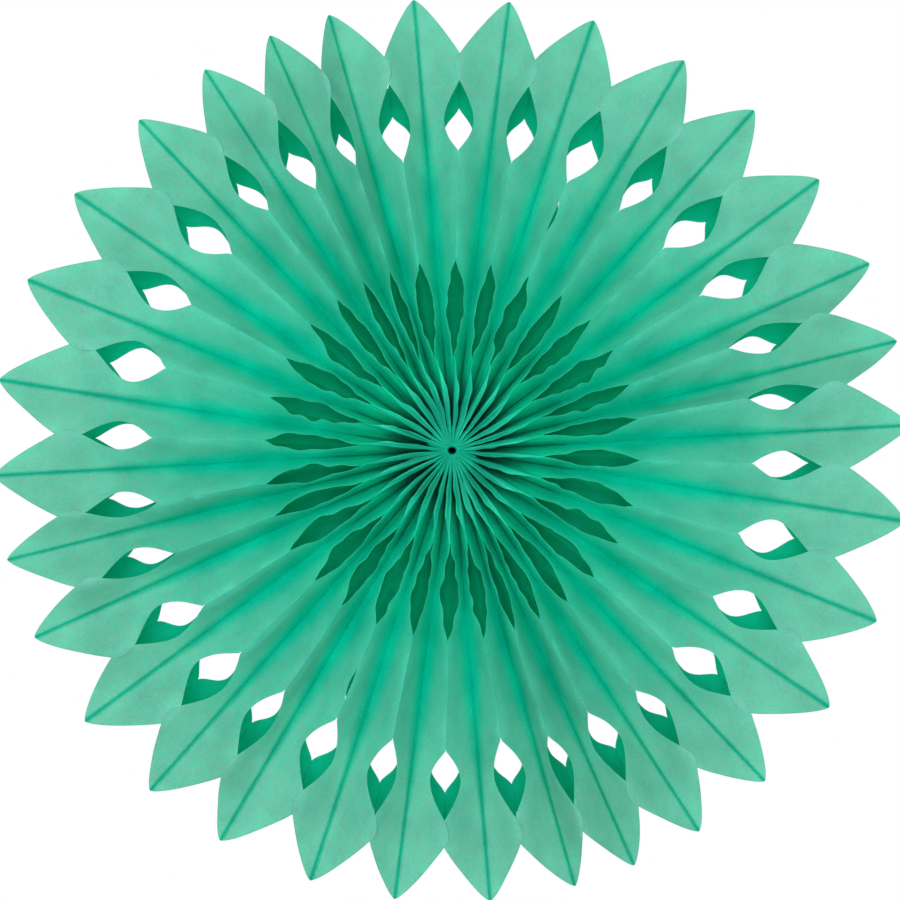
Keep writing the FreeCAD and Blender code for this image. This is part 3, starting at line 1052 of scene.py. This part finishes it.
def core_mesh():
    """Fluted hub, front and back, with a narrow uneven hole through it."""
    angles = []
    for i in range(LEAF_COUNT):
        for k in range(STEPS_PER_TURN):
            t = k / STEPS_PER_TURN
            angles.append((MIDRIBS[i] + TURNS[i] * t, abs(2 * t - 1)))
    columns = []
    for angle, valley in angles:
        outline = core_outline(valley)
        column = []
        for index, (radius, depth) in enumerate(outline):
            wide = BORE_WIDTH / BORE_HEIGHT if index == 0 else 1.0
            column.append((radius * wide * math.sin(angle), -depth, radius * math.cos(angle)))
        column += [(x, -y, z) for x, y, z in reversed(column)]
        for depth in THROAT_DEPTHS:
            width = THROAT + (BORE_HEIGHT - THROAT) * (depth / THROAT_END) ** THROAT_POWER
            middle = THROAT_SHIFT * math.sin(depth / THROAT_BEND * math.pi / 2)
            column.append((middle + width * math.sin(angle), -depth * MM,
                           width * math.cos(angle)))
        columns.append(column)
    points = [point for column in columns for point in column]
    tall = len(columns[0])
    open_rings = 2 * len(core_outline(0.0))
    # deep picks the bore's painted shade on the hole's edges and throat
    deep = [0.0 if 0 < k < open_rings - 1 else 1.0 for k in range(tall)] * len(columns)
    quads = []
    for i in range(len(columns)):
        j = (i + 1) % len(columns)
        for k in range(tall):
            m = (k + 1) % tall
            quads.append((i * tall + k, j * tall + k, j * tall + m, i * tall + m))
    mesh = bpy.data.meshes.new("glued_core_piece")
    mesh.from_pydata(points, [], quads)
    mesh.attributes.new("deep", "FLOAT", "POINT").data.foreach_set("value", deep)
    return joined([mesh], "glued_core_piece")


# Stage

FLOOR_DROP = 0.32
FLOOR_RADIUS = 2.5
FLOOR_SIDES = 96
# Name, place and side in metres, and power in watts
FRONT_LAMP = ("front_lamp", (-0.12, -1.7, 0.16), 0.8, 20.5)
BACK_LAMP = ("back_lamp", (0.2, 1.6, 0.7), 1.3, 6.4)
SOFT_LIGHT = 0.5
PLAIN_WHITE = 1.0
# The photograph: its side in pixels, the size of a pixel at the middle of the fan's depth,
# the camera's distance in metres and the fan's centre in pixels
PHOTO_SIDE = 900
PIXEL = 0.446 * MM
CAMERA_DISTANCE = 0.640
PHOTO_CENTRE_X = 452.0
PHOTO_CENTRE_Y = 450.5


def add_floor(s):
    """Round floor under the fan."""
    work = bmesh.new()
    bmesh.ops.create_circle(work, cap_ends=True, segments=FLOOR_SIDES, radius=FLOOR_RADIUS)
    bmesh.ops.translate(work, verts=work.verts, vec=(0, 0, -FLOOR_DROP))
    mesh = bpy.data.meshes.new("floor")
    work.to_mesh(mesh)
    work.free()
    mesh.materials.append(floor_material(s))
    floor = bpy.data.objects.new("floor", mesh)
    bpy.context.scene.collection.objects.link(floor)


def add_area_lamp(name, place, side, power):
    """Square soft lamp aimed at the centre of the fan."""
    lamp = bpy.data.lights.new(name, "AREA")
    lamp.shape = "SQUARE"
    lamp.size = side
    lamp.energy = power
    obj = bpy.data.objects.new(name, lamp)
    obj.location = place
    obj.rotation_euler = (-Vector(place)).to_track_quat("-Z", "Y").to_euler()
    bpy.context.scene.collection.objects.link(obj)


def add_world():
    """Soft white surroundings, seen as plain white."""
    world = bpy.data.worlds.new("surroundings")
    bpy.context.scene.world = world
    world.use_nodes = True
    world.node_tree.nodes.clear()
    t = Tree(world.node_tree)
    soft, seen = (t.node("ShaderNodeBackground") for _ in range(2))
    for background, strength in ((soft, SOFT_LIGHT), (seen, PLAIN_WHITE)):
        background.inputs["Color"].default_value = (1, 1, 1, 1)
        background.inputs["Strength"].default_value = strength
    path = t.node("ShaderNodeLightPath").outputs
    direct = t.add(path["Is Camera Ray"], path["Is Glossy Ray"], path["Is Transmission Ray"])
    blend = t.node("ShaderNodeMixShader")
    t.put(blend.inputs[0], t.maths("MINIMUM", direct, 1.0))
    t.put(blend.inputs[1], soft.outputs[0])
    t.put(blend.inputs[2], seen.outputs[0])
    t.put(t.node("ShaderNodeOutputWorld").inputs["Surface"], blend.outputs[0])


def add_camera():
    """Camera square in front of the fan, framed as the photograph is."""
    camera = bpy.data.cameras.new("camera")
    camera.sensor_fit = "HORIZONTAL"
    camera.angle = 2 * math.atan(PHOTO_SIDE * PIXEL / 2 / CAMERA_DISTANCE)
    camera.shift_x = (PHOTO_SIDE / 2 - PHOTO_CENTRE_X) / PHOTO_SIDE
    camera.shift_y = (PHOTO_CENTRE_Y - PHOTO_SIDE / 2) / PHOTO_SIDE
    obj = bpy.data.objects.new("camera", camera)
    obj.location = (0, -CAMERA_DISTANCE, 0)
    obj.rotation_euler = (math.radians(90), 0, 0)
    bpy.context.scene.collection.objects.link(obj)
    bpy.context.scene.camera = obj


class FAN_OT_stage(bpy.types.Operator):
    """Add the floor, the lamps, the world and the camera"""

    bl_idname = "tissue_fan.stage"
    bl_label = "Stage, lamps and camera"

    def execute(self, context):
        add_floor(context.scene.tissue_fan)
        add_area_lamp(*FRONT_LAMP)
        add_area_lamp(*BACK_LAMP)
        add_world()
        add_camera()
        context.scene.view_settings.view_transform = "Standard"
        return {"FINISHED"}


OPERATORS = (FAN_OT_leaves, FAN_OT_core, FAN_OT_stage)


class FAN_PT_panel(bpy.types.Panel):
    """Buttons that build the fan, and its sizes and colours"""

    bl_label = "Tissue Fan"
    bl_idname = "FAN_PT_panel"
    bl_space_type = "VIEW_3D"
    bl_region_type = "UI"
    bl_category = "Tissue Fan"

    def draw(self, context):
        """List the operators and the settings."""
        for operator in OPERATORS:
            self.layout.operator(operator.bl_idname)
        for name in TissueFanSettings.__annotations__:
            self.layout.prop(context.scene.tissue_fan, name)


CLASSES = (TissueFanSettings,) + OPERATORS + (FAN_PT_panel,)


def register():
    """Register the classes and hang the settings on the scene."""
    for cls in CLASSES:
        bpy.utils.register_class(cls)
    bpy.types.Scene.tissue_fan = PointerProperty(type=TissueFanSettings)


def unregister():
    """Undo register."""
    del bpy.types.Scene.tissue_fan
    for cls in reversed(CLASSES):
        bpy.utils.unregister_class(cls)


def main():
    """Build every piece and the stage."""
    register()
    bpy.ops.tissue_fan.leaves()
    bpy.ops.tissue_fan.core()
    bpy.ops.tissue_fan.stage()
    bpy.context.view_layer.update()


if __name__ == "__main__":
    main()
